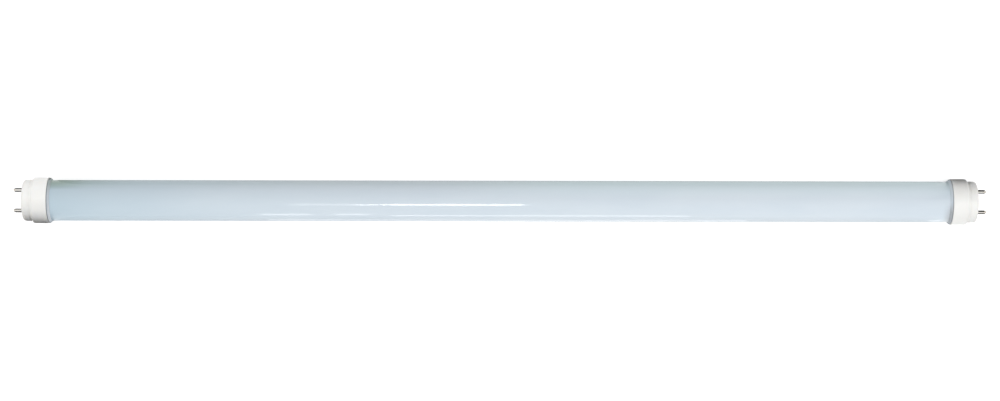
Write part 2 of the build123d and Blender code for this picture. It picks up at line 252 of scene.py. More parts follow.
def frosted_glass():
    material, tree, shader = blank("frosted_glass")
    x = axis(tree, "X")
    y = axis(tree, "Y")
    cloud = noise(tree, place(tree, (0.25, 1, 1)), 60, 4)
    grain = noise(tree, place(tree), 900, 2)
    body = mix(tree, spread(tree, cloud, 0.3, 0.7), milk, thick_milk)
    # Painted shade, darker towards the left end.
    body = paint_left_shade(tree, body, x)
    # Painted light, paler and bluer along the back of the right half.
    body = paint_back_light(tree, body, x, y)
    # Painted shade, darker and greener along the back edge near both ends.
    body = paint_end_shade(tree, body, x, y, cloud)
    body = mix(tree, spread(tree, grain, 0.62, 0.8, 0, 0.08), body, coat_grain)
    # Painted shadow of the right collar on the glass.
    body = mix(tree, collar_shadow(tree, 0.5, 0.8), body, collar_shadow_on_glass)
    tree.links.new(body, shader.inputs["Base Color"])
    tree.links.new(spread(tree, cloud, 0, 1, 0.5, 0.62), shader.inputs["Roughness"])
    shader.inputs["Specular IOR Level"].default_value = 0.15
    shader.inputs["Coat Weight"].default_value = 1
    shader.inputs["Coat Roughness"].default_value = 0.035
    shader.inputs["Coat IOR"].default_value = 1.5
    drawn = noise(tree, place(tree, (0.06, 1, 1)), 220, 2)
    tree.links.new(bump(tree, drawn, 0.00002, 0.15), shader.inputs["Coat Normal"])
    tree.links.new(bump(tree, grain, 0.00001, 0.3), shader.inputs["Normal"])
    return material


dress(frosted_glass(), "glass_tube")

# %% [markdown]
# The caps are injection moulded from a white fire-safe plastic, satin, with a very fine spark-eroded
# skin from the mould. White plastic lets light in a little way, so a small subsurface keeps its edges
# soft. Handling leaves faint scuffs.

# %% White moulded plastic
plastic = (0.83, 0.825, 0.80)
pale_plastic = (0.87, 0.868, 0.85)
scuffed_plastic = (0.66, 0.65, 0.62)


def cap_plastic():
    material, tree, shader = blank("cap_plastic")
    flow = noise(tree, place(tree, (0.4, 1, 1)), 90, 3)
    skin = noise(tree, place(tree), 5200, 2)
    scuff = noise(tree, place(tree, (3, 0.7, 0.7)), 700, 5, 0.7)
    body = mix(tree, spread(tree, flow, 0.3, 0.7), plastic, pale_plastic)
    marks = spread(tree, scuff, 0.68, 0.78, 0, 0.25)
    body = mix(tree, marks, body, scuffed_plastic)
    tree.links.new(body, shader.inputs["Base Color"])
    satin = spread(tree, skin, 0, 1, 0.34, 0.48)
    dulled = work(tree, "MULTIPLY", marks, 0.4)
    tree.links.new(work(tree, "ADD", satin, dulled), shader.inputs["Roughness"])
    shader.inputs["Subsurface Weight"].default_value = 0.12
    shader.inputs["Subsurface Radius"].default_value = (0.0012, 0.001, 0.0008)
    shader.inputs["Subsurface Scale"].default_value = 1
    shader.inputs["IOR"].default_value = 1.49
    relief = bump(tree, skin, 0.000015, 0.5)
    relief = bump(tree, flow, 0.00008, 0.25, relief)
    tree.links.new(relief, shader.inputs["Normal"])
    return material


dress(cap_plastic(), "left_end_cap", "right_end_cap")

# %% [markdown]
# The seal rings are silicone. They take the colour of the glass behind them, with a duller skin, and
# dust clings to them. Like the glass, the left ring is painted darker as shade, and greener along its
# back. The narrow seam between ring and collar, which is the dark line in the photograph, is painted
# dark as shade. It is darker towards the front, and darkest just beside the seam on the back of the left
# ring and the front of the right ring. The right ring carries the painted shadow of its collar along the
# front.

# %% Silicone of the seal rings
seam_width = 0.0005
seam_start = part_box("right_end_cap")[0].x - seam_width
seam_edge = 0.00002  # half the width of its soft edge
# Painted shade: the left ring darker than the right, and darker and greener along its back.
left_ring = (0.50, 0.54, 0.585)
left_ring_back_shade = (0.38, 0.44, 0.435)
right_ring = (0.56, 0.625, 0.68)
pale_silicone = (0.70, 0.76, 0.80)
pale_dust = (0.72, 0.72, 0.70)
# Painted shade in the seam between ring and collar, and just beside it.
seam_shade = (0.07, 0.08, 0.09)
outer_seam_shade = (0.05, 0.055, 0.05)
# Painted shadow of the right collar on the ring.
collar_shadow_on_ring = (0.33, 0.35, 0.37)


def outer_side(tree, x, y):
    """1 on the back of the left ring and on the front of the right ring."""
    turned = work(tree, "MULTIPLY", y, spread(tree, x, -0.1, 0.1, 1, -1))
    return spread(tree, turned, 0.0122, 0.0132)


def seal_silicone():
    material, tree, shader = blank("seal_silicone")
    cloud = noise(tree, place(tree), 350, 4)
    dust = noise(tree, place(tree), 2600, 4, 0.7)
    x = axis(tree, "X")
    y = axis(tree, "Y")
    from_middle = work(tree, "ABSOLUTE", x)
    # Painted shade, darker and greener along the back of the left ring, and the left ring darker than
    # the right.
    left_tone = mix(tree, spread(tree, y, 0.005, 0.0105), left_ring, left_ring_back_shade)
    body = mix(tree, spread(tree, x, -0.1, 0.1), left_tone, right_ring)
    body = mix(tree, spread(tree, cloud, 0.3, 0.7, 0, 0.12), body, pale_silicone)
    body = mix(tree, spread(tree, dust, 0.62, 0.75, 0, 0.2), body, pale_dust)
    # Painted shade in the seam, stronger towards the front.
    seam = spread(tree, from_middle, seam_start - seam_edge, seam_start + seam_edge)
    shade_mask = work(tree, "MULTIPLY", seam, spread(tree, y, 0.004, -0.008, 0.2, 0.45))
    body = mix(tree, shade_mask, body, seam_shade)
    # Painted shade, very dark beside the seam on the back of the left ring and the front of the right
    # ring.
    wide_seam = spread(tree, from_middle, seam_start - 0.0007, seam_start - 0.0004)
    shade_mask = work(tree, "MULTIPLY", outer_side(tree, x, y), wide_seam)
    body = mix(tree, shade_mask, body, outer_seam_shade)
    # Painted shadow of the right collar on the ring.
    body = mix(tree, collar_shadow(tree, 0.7, 0.95), body, collar_shadow_on_ring)
    tree.links.new(body, shader.inputs["Base Color"])
    tree.links.new(spread(tree, dust, 0.2, 0.8, 0.38, 0.6), shader.inputs["Roughness"])
    shader.inputs["Subsurface Weight"].default_value = 0.3
    shader.inputs["Subsurface Radius"].default_value = (0.001, 0.0012, 0.0014)
    shader.inputs["Subsurface Scale"].default_value = 1
    shader.inputs["IOR"].default_value = 1.41
    tree.links.new(bump(tree, cloud, 0.00006, 0.4), shader.inputs["Normal"])
    return material


dress(seal_silicone(), "left_seal_ring", "right_seal_ring")

# %% [markdown]
# The pins are turned from brass and nickel plated. Turning leaves rings round the pin, and pushing
# them into a lampholder rubs the plating, so a warmer brass shows in streaks near the tip.

# %% Nickel plated pins
nickel = (0.70, 0.68, 0.64)
pale_nickel = (0.78, 0.765, 0.73)
worn_brass = (0.60, 0.45, 0.24)


def pin_metal():
    material, tree, shader = blank("pin_metal")
    x = axis(tree, "X")
    rings = noise(tree, place(tree, (1, 0.02, 0.02)), 5200, 2)
    rub = noise(tree, place(tree, (0.15, 1, 1)), 2600, 4, 0.65)
    body = mix(tree, spread(tree, rings, 0.3, 0.7), nickel, pale_nickel)
    tip = spread(tree, work(tree, "ABSOLUTE", x), 0.2985, 0.3012)
    worn = work(tree, "MULTIPLY", tip, spread(tree, rub, 0.48, 0.62, 0, 0.7))
    body = mix(tree, worn, body, worn_brass)
    tree.links.new(body, shader.inputs["Base Color"])
    shader.inputs["Metallic"].default_value = 1
    tree.links.new(spread(tree, rub, 0.3, 0.7, 0.05, 0.14), shader.inputs["Roughness"])
    tree.links.new(bump(tree, rings, 0.000012, 0.5), shader.inputs["Normal"])
    return material


dress(pin_metal(), "left_front_pin", "left_back_pin", "right_front_pin", "right_back_pin")

# %% [markdown]
# The inner parts are hidden by the milky glass, but they are real pieces of the lamp, and each gets
# the finish of the real part. Many of them are two materials in one solid, such as a blue body with
# tinned legs. A piece can stay whole if its colour changes by place: the helpers here paint a second
# finish where a coordinate passes a level.

# %% Helpers for finishes in two colours
paint_edge = 0.00001  # half the width of the soft edge between two colours


def speckled(name, first, second, scale, rough=(0.4, 0.6), depth=0.00001):
    """A material whose colour, roughness and relief follow one fine cloudy pattern."""
    material, tree, shader = blank(name)
    cloud = noise(tree, place(tree), scale, 4)
    body = mix(tree, spread(tree, cloud, 0.3, 0.7), first, second)
    tree.links.new(body, shader.inputs["Base Color"])
    tree.links.new(spread(tree, cloud, 0.3, 0.7, *rough), shader.inputs["Roughness"])
    tree.links.new(bump(tree, cloud, depth, 0.5), shader.inputs["Normal"])
    return material, tree, shader


def paint(tree, shader, mask, colour, metal=None):
    """Lays a second colour over the first where the mask is 1, and makes it metal there if asked."""
    under = shader.inputs["Base Color"].links[0].from_socket
    tree.links.new(mix(tree, mask, under, colour), shader.inputs["Base Color"])
    if metal:
        links = shader.inputs["Metallic"].links
        before = links[0].from_socket if links else 0.0
        tree.links.new(work(tree, "MAXIMUM", before, mask), shader.inputs["Metallic"])


def above(tree, letter, level):
    """1 where a coordinate is over the level."""
    return spread(tree, axis(tree, letter), level - paint_edge, level + paint_edge)


def below(tree, letter, level):
    """1 where a coordinate is under the level."""
    return spread(tree, axis(tree, letter), level - paint_edge, level + paint_edge, 1, 0)


def off_centre(tree, letter, centre, reach):
    """1 where a coordinate is farther than reach from the centre."""
    away = work(tree, "ABSOLUTE", work(tree, "SUBTRACT", axis(tree, letter), centre))
    return spread(tree, away, reach - paint_edge, reach + paint_edge)


def facing_up(tree):
    """1 on faces that look up."""
    geometry = tree.nodes.new("ShaderNodeNewGeometry")
    split = tree.nodes.new("ShaderNodeSeparateXYZ")
    tree.links.new(geometry.outputs["True Normal"], split.inputs["Vector"])
    return spread(tree, split.outputs["Z"], 0.4, 0.6)


def middle(name, letter):
    """Middle of a solid along one axis."""
    low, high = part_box(name)
    return (getattr(low, letter) + getattr(high, letter)) / 2


tin = (0.62, 0.63, 0.64)
aluminium = (0.72, 0.73, 0.74)
ferrite = (0.045, 0.045, 0.05)
driver_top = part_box("driver_board")[1].z
over_board = driver_top + 0.00002  # where the tin of the legs ends
print("top of the driver board", round(driver_top * 1000, 2), "mm")

# %% [markdown]
# The strip is a metal core under a white solder mask that throws the light forward. The mask is only
# on top, so the edges and the underside stay bare brushed metal, and its copper tracks show as a
# slight relief. The light sources are white packages, each with a window of yellow phosphor.

# %% Strip, adhesive and light sources
mask_depth = 0.00008
track_inner = 0.0022
track_outer = 0.0052
window_depth = 0.00005


def strip_finish():
    solder_mask = ((0.84, 0.845, 0.83), (0.88, 0.88, 0.87))
    material, tree, shader = speckled("board_metal", *solder_mask, scale=500, rough=(0.42, 0.55))
    brushed = noise(tree, place(tree, (0.02, 1, 1)), 4000, 3)
    metal = mix(tree, brushed, (0.60, 0.61, 0.62), aluminium)
    bare = below(tree, "Z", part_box("led_board")[1].z - mask_depth)
    under = shader.inputs["Base Color"].links[0].from_socket
    tree.links.new(mix(tree, bare, under, metal), shader.inputs["Base Color"])
    tree.links.new(bare, shader.inputs["Metallic"])
    outside = off_centre(tree, "Y", 0, track_outer)
    tracks = work(tree, "SUBTRACT", off_centre(tree, "Y", 0, track_inner), outside)
    before = shader.inputs["Normal"].links[0].from_socket
    tree.links.new(bump(tree, tracks, 0.00004, 0.6, before), shader.inputs["Normal"])
    return material


def phosphor_finish():
    package = ((0.86, 0.85, 0.80), (0.90, 0.89, 0.85))
    material, tree, shader = speckled("chip_package", *package, scale=2500, rough=(0.3, 0.45))
    window = below(tree, "Z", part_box("led_chips")[1].z - window_depth)
    window = work(tree, "MULTIPLY", window, facing_up(tree))
    paint(tree, shader, window, (0.86, 0.62, 0.10))
    return material


def adhesive_finish():
    adhesive = ((0.80, 0.80, 0.77), (0.87, 0.87, 0.85))
    look = {"scale": 300, "rough": (0.45, 0.6), "depth": 0.0001}
    material, _, shader = speckled("bond_silicone", *adhesive, **look)
    shader.inputs["Subsurface Weight"].default_value = 0.2
    shader.inputs["Subsurface Radius"].default_value = (0.001, 0.001, 0.001)
    shader.inputs["Subsurface Scale"].default_value = 1
    return material


dress(strip_finish(), "led_board")
dress(phosphor_finish(), "led_chips")
dress(adhesive_finish(), "board_bond")

# %% [markdown]
# The driver lies in a thin milky sleeve that was shrunk over it, so its film is stretched into long
# faint folds. Its board is green laminate, with tracks on the underside and pale glass fibre on the
# cut edges.

# %% Sleeve and driver board
face_depth = 0.00005  # of the laminate's two faces


def sleeve_finish():
    film = ((0.80, 0.81, 0.81), (0.86, 0.86, 0.86))
    material, tree, shader = speckled("sleeve_film", *film, scale=260, rough=(0.28, 0.42))
    folds = noise(tree, place(tree, (0.12, 1, 1)), 420, 3)
    tree.links.new(bump(tree, folds, 0.0002, 0.5), shader.inputs["Normal"])
    shader.inputs["Subsurface Weight"].default_value = 0.25
    shader.inputs["Subsurface Radius"].default_value = (0.0006, 0.0006, 0.0006)
    shader.inputs["Subsurface Scale"].default_value = 1
    return material


def laminate_finish():
    green = ((0.03, 0.16, 0.07), (0.045, 0.20, 0.09))
    material, tree, shader = speckled("driver_laminate", *green, scale=900, rough=(0.3, 0.42))
    low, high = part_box("driver_board")
    cells = tree.nodes.new("ShaderNodeTexBrick")
    cells.inputs["Scale"].default_value = 160
    cells.inputs["Mortar Size"].default_value = 0.06
    tree.links.new(place(tree), cells.inputs["Vector"])
    underside = below(tree, "Z", low.z + face_depth)
    paint(tree, shader, work(tree, "MULTIPLY", cells.outputs["Fac"], underside), (0.10, 0.34, 0.15))
    over = above(tree, "Z", low.z + face_depth)
    under = below(tree, "Z", high.z - face_depth)
    paint(tree, shader, work(tree, "MULTIPLY", over, under), (0.55, 0.52, 0.34))
    return material


dress(sleeve_finish(), "driver_sleeve")
dress(laminate_finish(), "driver_board")

# %% [markdown]
# The parts on the driver board. Each legged part has its body's finish above the board and bare tin
# below.

# %% Legged parts
half_band = 0.00028
colour_bands = (
    (0.0014, (0.45, 0.20, 0.04)),
    (0.0026, (0.02, 0.02, 0.02)),
    (0.0038, (0.02, 0.02, 0.02)),
    (0.0055, (0.60, 0.42, 0.08)),
)
stripe_depth = 0.0012
can_end_depth = 0.0003
flange = 0.00102
core_width = 0.00251
winding_side = 0.00381
core_top = 0.00119


def legged(name, first, second, scale, rough, depth=0.00001):
    """The finish of one part, with tinned legs below its body."""
    material, tree, shader = speckled(name + "_finish", first, second, scale, rough, depth)
    paint(tree, shader, below(tree, "Z", over_board), tin, metal=True)
    return material, tree, shader


def fuse_finish():
    """Green lacquer with four colour bands, which stop where the legs begin."""
    lacquer = ((0.30, 0.48, 0.36), (0.36, 0.54, 0.41))
    look = {"scale": 1500, "rough": (0.35, 0.5), "depth": 0.00003}
    material, tree, shader = legged("fuse_resistor", *lacquer, **look)
    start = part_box("fuse_resistor")[0].x
    for offset, colour in colour_bands:
        band = work(tree, "SUBTRACT", 1.0, off_centre(tree, "X", start + offset, half_band))
        band = work(tree, "MULTIPLY", band, above(tree, "Z", over_board))
        paint(tree, shader, band, colour)
    return material


def varistor_finish():
    epoxy = ((0.02, 0.08, 0.36), (0.03, 0.11, 0.44))
    material, _, shader = legged("varistor", *epoxy, scale=800, rough=(0.18, 0.3), depth=0.00005)
    shader.inputs["Coat Weight"].default_value = 0.5
    shader.inputs["Coat Roughness"].default_value = 0.12
    return material


def film_finish():
    case = ((0.66, 0.42, 0.03), (0.74, 0.49, 0.05))
    return legged("film_capacitor", *case, scale=1200, rough=(0.28, 0.4))[0]


def can_finish(name, lying):
    """A dark shrink sleeve with a pale stripe along one side, and bare metal on the can's end."""
    sleeve = ((0.012, 0.015, 0.03), (0.02, 0.024, 0.045))
    material, tree, shader = legged(name, *sleeve, scale=900, rough=(0.25, 0.36))
    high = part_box(name)[1]
    side = above(tree, "Y", high.y - stripe_depth)
    stripe = work(tree, "MULTIPLY", side, above(tree, "Z", over_board))
    paint(tree, shader, stripe, (0.55, 0.57, 0.60))
    if lying:
        end = above(tree, "X", high.x - can_end_depth)
    else:
        end = above(tree, "Z", high.z - can_end_depth)
    paint(tree, shader, end, aluminium, metal=True)
    return material


def choke_finish():
    """Two ferrite flanges with a lacquered copper winding between them."""
    core = (ferrite, (0.06, 0.06, 0.065))
    material, tree, shader = legged("filter_choke", *core, scale=1500, rough=(0.5, 0.65))
    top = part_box("filter_choke")[1].z
    over = above(tree, "Z", driver_top + flange)
    winding = work(tree, "MULTIPLY", over, below(tree, "Z", top - flange))
    turns = tree.nodes.new("ShaderNodeTexWave")
    turns.bands_direction = "Z"
    turns.inputs["Scale"].default_value = 900
    turns.inputs["Distortion"].default_value = 0.6
    tree.links.new(place(tree), turns.inputs["Vector"])
    copper = mix(tree, turns.outputs["Fac"], (0.30, 0.08, 0.02), (0.62, 0.24, 0.08))
    under = shader.inputs["Base Color"].links[0].from_socket
    tree.links.new(mix(tree, winding, under, copper), shader.inputs["Base Color"])
    before = shader.inputs["Normal"].links[0].from_socket
    grooves = work(tree, "MULTIPLY", winding, turns.outputs["Fac"])
    tree.links.new(bump(tree, grooves, 0.0001, 0.7, before), shader.inputs["Normal"])
    return material


def transformer_finish():
    """A winding under yellow tape, with a dark ferrite core round its middle."""
    tape = ((0.70, 0.50, 0.06), (0.78, 0.57, 0.09))
    material, tree, shader = legged("transformer", *tape, scale=700, rough=(0.25, 0.38), depth=0.00003)
    centre = middle("transformer", "x")
    along = work(tree, "SUBTRACT", 1.0, off_centre(tree, "X", centre, core_width))
    roof = above(tree, "Z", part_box("transformer")[1].z - core_top)
    outside = work(tree, "MAXIMUM", off_centre(tree, "Y", 0, winding_side), roof)
    core = work(tree, "MULTIPLY", along, outside)
    core = work(tree, "MULTIPLY", core, above(tree, "Z", driver_top + 0.0001))
    paint(tree, shader, core, ferrite)
    return material


dress(fuse_finish(), "fuse_resistor")
dress(varistor_finish(), "varistor")
dress(film_finish(), "film_capacitor")
dress(can_finish("smoothing_capacitor", True), "smoothing_capacitor")
dress(can_finish("output_capacitor", False), "output_capacitor")
dress(choke_finish(), "filter_choke")
dress(transformer_finish(), "transformer")

# %% [markdown]
# The flat parts under the board are black moulded resin with tinned ends, where the solder holds
# them.

# %% Flat parts
def resin_finish(name, terminal):
    """Black resin, with tinned terminals at both ends along the lamp."""
    resin = ((0.012, 0.012, 0.013), (0.022, 0.022, 0.024))
    material, tree, shader = speckled(name + "_finish", *resin, scale=3000, rough=(0.45, 0.6))
    low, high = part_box(name)
    ends = off_centre(tree, "X", middle(name, "x"), (high.x - low.x) / 2 - terminal)
    paint(tree, shader, ends, tin, metal=True)
    return material


terminals = (
    ("bridge_rectifier", 0.0006),
    ("controller_chip", 0.0005),
    ("output_diode", 0.0009),
    ("sense_resistors", 0.0006),
)
for name, terminal in terminals:
    dress(resin_finish(name, terminal), name)

# %% [markdown]
# The wires have smooth insulation, rubbed a little dull, and their stripped ends are tinned.

# %% Wires
def wire_finish(name, first, second, bare_low, bare_high):
    """Insulation in one colour, with a bare tinned length at each end along the lamp."""
    material, tree, shader = speckled(name + "_finish", first, second, scale=1400, rough=(0.25, 0.4))
    low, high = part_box(name)
    low_end = below(tree, "X", low.x + bare_low)
    high_end = above(tree, "X", high.x - bare_high)
    paint(tree, shader, work(tree, "MAXIMUM", low_end, high_end), tin, metal=True)
    return material


black = ((0.012, 0.012, 0.013), (0.025, 0.025, 0.027))
white = ((0.76, 0.76, 0.73), (0.82, 0.82, 0.80))
red = ((0.42, 0.015, 0.012), (0.52, 0.025, 0.018))
in_pin = 0.0022
on_board = 0.0015
dress(wire_finish("front_supply_wire", *black, in_pin, on_board), "front_supply_wire")
dress(wire_finish("back_supply_wire", *white, in_pin, on_board), "back_supply_wire")
dress(wire_finish("front_output_wire", *black, on_board, on_board), "front_output_wire")
dress(wire_finish("back_output_wire", *red, on_board, on_board), "back_output_wire")
dress(wire_finish("right_pin_link", *white, 0, in_pin), "right_pin_link")

# %% [markdown]
# Solder holds the legs under the driver board and the wires on their pads. Melted solder creeps up
# the metal that it wets, so it stands round a leg as a cone with a hollow flank, and along a wire
# that lies flat it is a low mound. A sphere or a cone primitive has neither form. Each joint starts
# as a ring that is extruded and narrowed in steps, one of each kind is shaped, and the others are
# copies with meshes of their own.

# %% Solder joints
driver_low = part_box("driver_board")[0].z
strip_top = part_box("led_board")[1].z
# Height and radius of each step.
leg_cone = [(0, 0.00095), (-0.00012, 0.00074), (-0.00035, 0.00052), (-0.0007, 0.0004), (-0.001, 0.00033)]
wire_mound = [(0, 0.0011), (0.00025, 0.00105), (0.0006, 0.00085), (0.0009, 0.0005), (0.001, 0.0002)]
mound_stretch = 1.35
mound_setback = 0.0007  # from a wire's tip to the middle of its mound
legs_only = 0.001  # this far under the board there are only legs
leg_reach = 0.001  # farthest that two points of one leg lie apart
tip_depth = 0.0002
legged_parts = (
    "fuse_resistor",
    "varistor",
    "film_capacitor",
    "filter_choke",
    "smoothing_capacitor",
    "transformer",
    "output_capacitor",
)


def drawn_out(name, steps):
    """A closed ring, extruded to each step's height and narrowed to its radius."""
    bpy.ops.object.select_all(action="DESELECT")
    widest = steps[0][1]
    bpy.ops.mesh.primitive_circle_add(vertices=16, radius=widest, fill_type="NGON", location=(0, 0, 0))
    joint = bpy.context.object
    joint.name = name
    bpy.ops.object.mode_set(mode="EDIT")
    bpy.ops.mesh.select_all(action="SELECT")
    for (height, radius), (next_height, next_radius) in zip(steps, steps[1:]):
        bpy.ops.mesh.extrude_region_move(TRANSFORM_OT_translate={"value": (0, 0, next_height - height)})
        narrower = next_radius / radius
        bpy.ops.transform.resize(value=(narrower, narrower, 1), center_override=(0, 0, next_height))
    bpy.ops.mesh.select_all(action="SELECT")
    bpy.ops.mesh.normals_make_consistent(inside=False)
    bpy.ops.object.mode_set(mode="OBJECT")
    bpy.ops.object.shade_smooth()
    return joint


def tails(name):
    """Middles of a part's legs, where they come out under the driver board."""
    legs = []
    points = [vertex.co for vertex in nodes[name].data.vertices]
    for spot in [point.xy for point in points if point.z < driver_low - legs_only]:
        for leg in legs:
            if (leg[0] - spot).length < leg_reach:
                leg.append(spot)
                break
        else:
            legs.append([spot])
    return [sum(leg, Vector((0, 0))) / len(leg) for leg in legs]


def wire_end(name, side):
    """Middle of a wire's end, the lower (0) or the higher (1) one along the lamp."""
    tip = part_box(name)[side].x
    points = [vertex.co for vertex in nodes[name].data.vertices]
    ring = [point for point in points if abs(point.x - tip) < tip_depth]
    return sum(ring, Vector((0, 0, 0))) / len(ring)


def copied(joint, spot):
    """A copy with its own mesh, moved to its place."""
    twin = joint.copy()
    twin.data = joint.data.copy()
    bpy.context.scene.collection.objects.link(twin)
    twin.location = spot
    return twin


def solder_joints():
    """Cones round the legs and mounds on the wires' ends, joined into one piece."""
    cone = drawn_out("leg_cone", leg_cone)
    mound = drawn_out("wire_mound", wire_mound)
    mound.scale = (mound_stretch, 1, 1)
    made = []
    for name in legged_parts:
        for leg in tails(name):
            made.append(copied(cone, (leg.x, leg.y, driver_low)))
    ends = [(name, 1, driver_top) for name in ("front_supply_wire", "back_supply_wire")]
    for name in ("front_output_wire", "back_output_wire"):
        ends += [(name, 0, driver_top), (name, 1, strip_top)]
    for name, side, level in ends:
        end = wire_end(name, side)
        back_from_tip = mound_setback if side == 0 else -mound_setback
        made.append(copied(mound, (end.x + back_from_tip, end.y, level)))
    bpy.data.objects.remove(cone)
    bpy.data.objects.remove(mound)
    bpy.ops.object.select_all(action="DESELECT")
    for joint in made:
        joint.select_set(True)
    bpy.context.view_layer.objects.active = made[0]
    bpy.ops.object.transform_apply(location=True, rotation=True, scale=True)
    bpy.ops.object.join()
    solder = bpy.context.object
    solder.name = "solder_joints"
    bpy.ops.object.transform_apply(location=True, rotation=True, scale=True)
    bpy.ops.object.select_all(action="DESELECT")
    print(len(made), "solder joints,", len(solder.data.polygons), "faces")
    return solder


def solder_finish():
    """Bright where it cooled fast, duller where flux was left."""
    bright = ((0.56, 0.57, 0.58), (0.70, 0.71, 0.72))
    material, _, shader = speckled("solder", *bright, scale=1800, rough=(0.22, 0.42), depth=0.00002)
    shader.inputs["Metallic"].default_value = 1
    return material


solder = solder_joints()
solder.data.materials.append(solder_finish())
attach(solder, "root")

# %% [markdown]
# The floor is a plain pale sheet and stays nearly white, as in the photograph. It carries the lamp's
# soft shadow. A sheet that is only lit would be grey, and more light would burn out the white caps.
# So the sheet gets a little glow of its own, but only for rays that come from the camera or out of a
# mirror or glass. The lamp is lit by the plain sheet.

# %% Floor and background
def seen_directly(tree):
    """1 for rays from the camera, a mirror or glass, and 0 for rays that light the object."""
    rays = tree.nodes.new("ShaderNodeLightPath")
    seen = work(tree, "MAXIMUM", rays.outputs["Is Camera Ray"], rays.outputs["Is Glossy Ray"])
    return work(tree, "MAXIMUM", seen, rays.outputs["Is Transmission Ray"])


floor_size = 16
floor_glow = 0.57
room_level = 0.77


def pale_floor():
    """The sheet under the lamp, at the height on which its collars lie."""
    material, tree, shader = blank("pale_floor")
    cloud = noise(tree, place(tree), 3, 2)
    tree.links.new(mix(tree, cloud, (0.76, 0.76, 0.76), (0.78, 0.78, 0.78)), shader.inputs["Base Color"])
    shader.inputs["Roughness"].default_value = 1
    shader.inputs["Specular IOR Level"].default_value = 0
    shader.inputs["Emission Color"].default_value = (1, 1, 1, 1)
    glow = work(tree, "MULTIPLY", seen_directly(tree), floor_glow)
    tree.links.new(glow, shader.inputs["Emission Strength"])
    bpy.ops.mesh.primitive_plane_add(size=floor_size, location=(0, 0, cad_low[2]))
    floor = bpy.context.object
    floor.name = "floor"
    bpy.ops.object.transform_apply(location=True)
    floor.data.materials.append(material)
    bpy.ops.object.select_all(action="DESELECT")


def white_world(level):
    """White where it is seen, and plain soft light of the given level on the object."""
    world = bpy.data.worlds.new("white_room")
    bpy.context.scene.world = world
    world.use_nodes = True
    tree = world.node_tree
    ground = tree.nodes["Background"]
    strength = spread(tree, seen_directly(tree), 0, 1, level, 1)
    tree.links.new(strength, ground.inputs["Strength"])
    ground.inputs["Color"].default_value = (1, 1, 1, 1)
    world.cycles.sampling_method = "NONE"


pale_floor()
white_world(room_level)
print("floor at", round(cad_low[2] * 1000, 2), "mm")

# %% [markdown]
# The light. In the photograph the tube is brighter along its lower edge and towards its right end, so
# the large soft box stands in front (below the picture) and to the right. It would show in the glass
# as a broad pale band, which the photograph doesn't have, so mirrors don't see it. The sharp white
# streaks are narrow lamps: a line on the glass at some height in the picture mirrors one direction of
# the room, twice as far from the vertical as the glass is tilted there, and the lamp is put in that
# direction.

# %% Lamps
def soft_box(name, spot, aim, width, depth, watts, mirrored):
    """A rectangular lamp that shines from spot to aim."""
    light = bpy.data.lights.new(name, "AREA")
    light.shape = "RECTANGLE"
    light.size = width
    light.size_y = depth
    light.energy = watts
    lamp = bpy.data.objects.new(name, light)
    bpy.context.scene.collection.objects.link(lamp)
    lamp.location = spot
    lamp.rotation_mode = "QUATERNION"
    lamp.rotation_quaternion = (Vector(aim) - Vector(spot)).to_track_quat("-Z", "Y")
    lamp.visible_camera = False
    lamp.visible_glossy = mirrored
    return lamp


key = soft_box(
    "front_soft_box",
    spot=(0.45, -0.95, 1.15),
    aim=(0.05, 0, 0),
    width=1.3,
    depth=0.7,
    watts=8.3,
    mirrored=False,
)
top = soft_box(
    "top_soft_box",
    spot=(0.1, 0.1, 1.7),
    aim=(0, 0, 0),
    width=1.0,
    depth=0.8,
    watts=1.5,
    mirrored=False,
)
for lamp in (key, top):
    print(lamp.name, round(lamp.data.energy, 2), "W")

# %% [markdown]
# The two caps of the photograph are lit from opposite sides: the right cap is bright in front and
# shaded behind, and the left cap the other way round. No single lamp does that, so each cap gets a
# lamp of its own and is left out of the front soft box. Light linking does both: a lamp may light
# only the pieces of one collection, or all but them. A second, weak lamp stands for the light that a
# white floor throws back under each cap. It hangs below the floor, a little to the shaded side, so it
# only reaches faces that look down. Its blocker collection holds the cap alone, which lets it shine
# through the floor.

# %% A lamp of its own for each cap
cap_middle = 0.29
bounce_x = 0.288


def linked(lamp, names, state):
    """Lights only these nodes (INCLUDE), or everything but them (EXCLUDE)."""
    group = bpy.data.collections.new(lamp.name + "_lights")
    for name in names:
        group.objects.link(nodes[name])
    lamp.light_linking.receiver_collection = group
    for entry in group.collection_objects:
        entry.light_linking.link_state = state
    print(lamp.name, state, names)
    return group


linked(key, ["left_end_cap", "right_end_cap"], "EXCLUDE")
for side, name in ((-1, "left"), (1, "right")):
    cap = [name + "_end_cap"]
    lamp = soft_box(
        name + "_cap_soft_box",
        spot=(side * 0.65, side * -0.6, 1.35),
        aim=(side * cap_middle, 0, 0),
        width=1.3,
        depth=0.7,
        watts=6.8,
        mirrored=False,
    )
    linked(lamp, cap, "INCLUDE")
    bounce = soft_box(
        name + "_cap_bounce",
        spot=(side * bounce_x, side * 0.04, -0.105),
        aim=(side * bounce_x, 0, 0),
        width=0.05,
        depth=0.05,
        watts=0.06,
        mirrored=False,
    )
    bounce.light_linking.blocker_collection = linked(bounce, cap, "INCLUDE")

# %% [markdown]
# Polished metal only shows what stands around it. In an all white room the pins would be white and
# lose their edges, so dark cards lie under them and stand beside them, where only reflections can see
# them. Two grey sheets on the floor tone down what the glass mirrors along its back and front edge.
# Two more cards lean beside the caps, behind the right one and in front of the left one, and shade
# that side as in the photograph. They are clear from their backs, so they don't darken the floor.

# %% Cards
card_lift = 0.0005
floor_level = cad_low[2] + card_lift
under_pins = 0.296  # where the cards under the pins begin along the lamp
pin_cards_end = 0.36  # and where all cards round the pins end
beside_pins = 0.06
mouth = 0.277  # where a cap begins
beside_tube = 0.016
sheet_edge = 0.25
card_foot = 0.0147
card_top = 0.0185
card_height = 0.016
dark = 0.02


